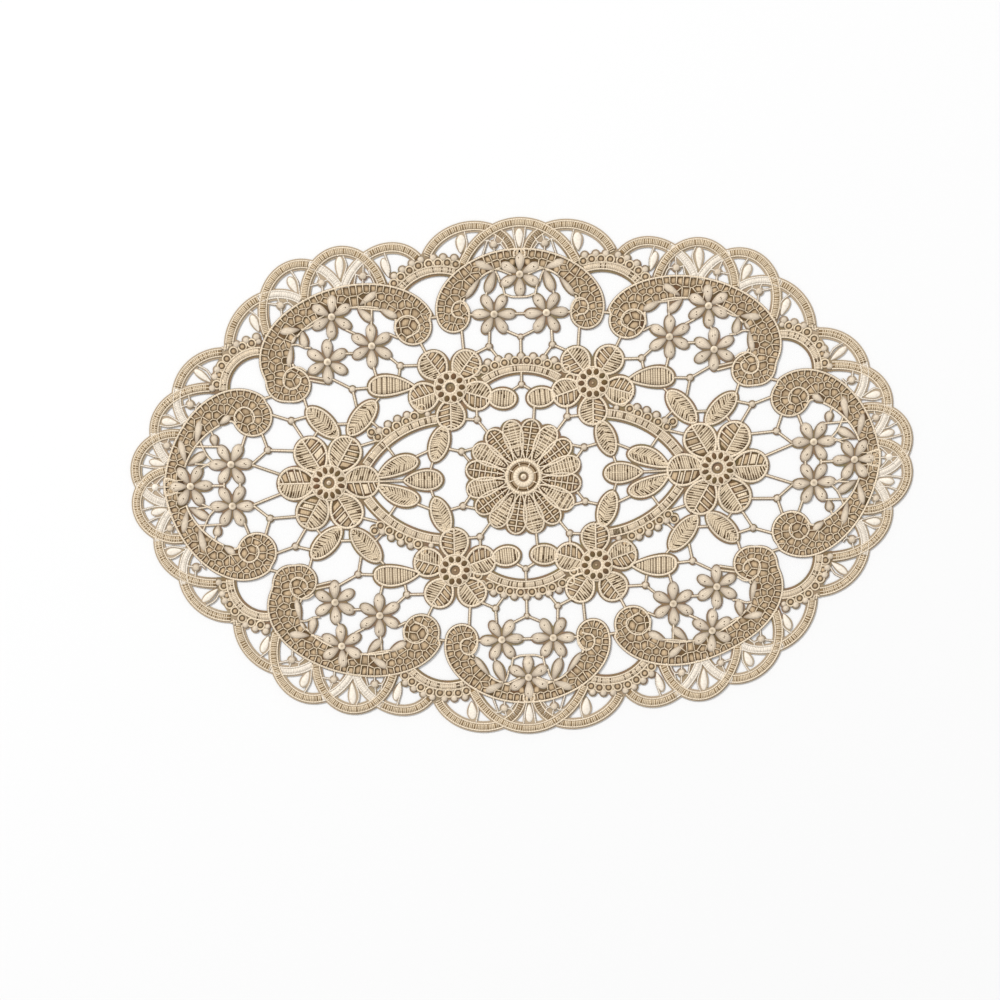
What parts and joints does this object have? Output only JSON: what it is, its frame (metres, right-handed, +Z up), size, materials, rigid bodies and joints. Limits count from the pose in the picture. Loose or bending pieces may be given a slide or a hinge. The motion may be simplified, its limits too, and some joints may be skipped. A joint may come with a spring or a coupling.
{
  "type": "lace doily",
  "caption": "Oval openwork lace doily of cord-edged flowers, leaves and scrolls joined by short bars inside a border of small overlapping tape arches.",
  "frame": {"origin": "centre of the doily's box, on its flat underside", "axes": "+X along the doily's length, +Y across it, +Z up out of its face"},
  "size_m": [0.4512, 0.298, 0.0022],
  "materials": {
    "lace_thread": "matt cream and tan thread"
  },
  "bodies": {
    "root": {"lace": "lace_thread"}
  },
  "joints": []
}
